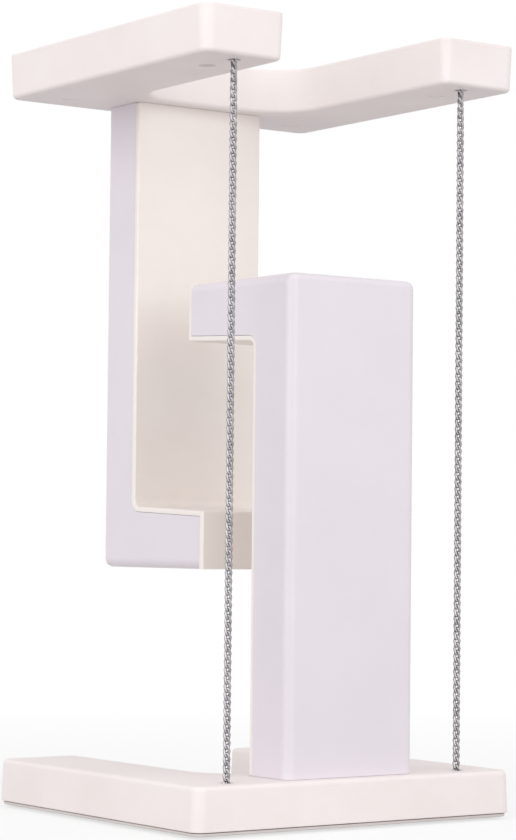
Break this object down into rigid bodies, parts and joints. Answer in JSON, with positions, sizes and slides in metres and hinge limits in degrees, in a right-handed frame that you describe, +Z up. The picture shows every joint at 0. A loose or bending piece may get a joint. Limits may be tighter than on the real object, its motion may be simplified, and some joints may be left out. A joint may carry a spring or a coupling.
{
  "type": "levitating lamp",
  "caption": "Table lamp of two U-shaped plates with two facing L-shaped light columns, whose upper half hangs from the lower one on taut chains and seems to float.",
  "frame": {"origin": "on the surface that the lamp stands on, below the middle of the base plate", "axes": "+Z up, +Y to the rear, where both arms of the base plate point, +X to the right seen from the front"},
  "size_m": [0.116, 0.1118, 0.2358],
  "materials": {
    "plate_plastic": "warm off-white moulded plastic, satin",
    "cover_plastic": "off-white moulded plastic, fine matt grain",
    "panel_plastic": "cream moulded plastic, satin",
    "shade_plastic": "translucent opal plastic, unlit, smooth",
    "foot_rubber": "matt grey rubber",
    "chain_steel": "bright plated curb links",
    "pin_steel": "bright drawn steel",
    "screw_steel": "dark zinc plated",
    "circuit_board": "green glass-fibre board with solder mask",
    "led_board": "white board with small emitters",
    "black_plastic": "black moulded plastic",
    "lead_insulation": "soft light-grey insulation"
  },
  "bodies": {
    "base": {"base_shell": "plate_plastic", "base_cover": "cover_plastic", "base_cover_screw_1": "screw_steel", "base_cover_screw_2": "screw_steel", "base_cover_screw_3": "screw_steel", "base_cover_screw_4": "screw_steel", "base_foot_1": "foot_rubber", "base_foot_2": "foot_rubber", "base_foot_3": "foot_rubber", "base_foot_4": "foot_rubber", "base_ballast": "screw_steel", "left_base_pin": "pin_steel", "right_base_pin": "pin_steel", "lower_lamp_screw_1": "screw_steel", "lower_lamp_screw_2": "screw_steel", "control_board": "circuit_board", "charging_socket": "pin_steel", "socket_tongue": "black_plastic", "push_switch": "black_plastic", "lower_lamp_lead": "lead_insulation", "left_chain_lead": "lead_insulation", "right_chain_lead": "lead_insulation", "lower_lamp_shade": "shade_plastic", "lower_lamp_panel": "panel_plastic", "lower_lamp_led_board": "led_board", "lower_lamp_chain_pin": "pin_steel"},
    "power_button": {"power_button": "panel_plastic"},
    "left_chain": {"left_chain": "chain_steel"},
    "right_chain": {"right_chain": "chain_steel"},
    "middle_chain": {"middle_chain": "chain_steel"},
    "floating_half": {"top_shell": "plate_plastic", "top_lid": "plate_plastic", "top_lid_screw_1": "screw_steel", "top_lid_screw_2": "screw_steel", "top_lid_screw_3": "screw_steel", "top_lid_screw_4": "screw_steel", "top_screw_plug_1": "cover_plastic", "top_screw_plug_2": "cover_plastic", "top_screw_plug_3": "cover_plastic", "top_screw_plug_4": "cover_plastic", "left_top_pin": "pin_steel", "right_top_pin": "pin_steel", "upper_lamp_screw_1": "screw_steel", "upper_lamp_screw_2": "screw_steel", "upper_lamp_lead_left": "lead_insulation", "upper_lamp_lead_right": "lead_insulation", "upper_lamp_shade": "shade_plastic", "upper_lamp_panel": "panel_plastic", "upper_lamp_led_board": "led_board", "upper_lamp_chain_pin": "pin_steel"}
  },
  "joints": [
    {"name": "float_twist", "type": "hinge", "parent": "base", "child": "floating_half", "pos_m": [0, -0.002, 0.149], "axis": [0, 0, 1], "range_deg": [-5, 5], "stiffness_Nm_per_rad": 0.02},
    {"name": "left_chain_swing", "type": "hinge", "parent": "base", "child": "left_chain", "pos_m": [-0.0423, -0.0475, 0.01], "axis": [0.6809, 0.7324, 0], "range_deg": [-1.5, 1.5]},
    {"name": "right_chain_swing", "type": "hinge", "parent": "base", "child": "right_chain", "pos_m": [0.0423, -0.0475, 0.01], "axis": [-0.6809, 0.7324, 0], "range_deg": [-1.5, 1.5]},
    {"name": "middle_chain_twist", "type": "hinge", "parent": "base", "child": "middle_chain", "pos_m": [0, -0.002, 0.149], "axis": [0, 0, 1], "range_deg": [-2.6, 2.6]},
    {"name": "button_press", "type": "slide", "parent": "base", "child": "power_button", "axis": [0, -1, 0], "range_m": [0, 0.0006], "stiffness_N_per_m": 1500, "springref_m": -0.0004}
  ],
  "couplings": [
    {"joint": "left_chain_swing", "follows": "float_twist", "ratio": 0.2868},
    {"joint": "right_chain_swing", "follows": "float_twist", "ratio": 0.2868},
    {"joint": "middle_chain_twist", "follows": "float_twist", "ratio": 0.5}
  ]
}
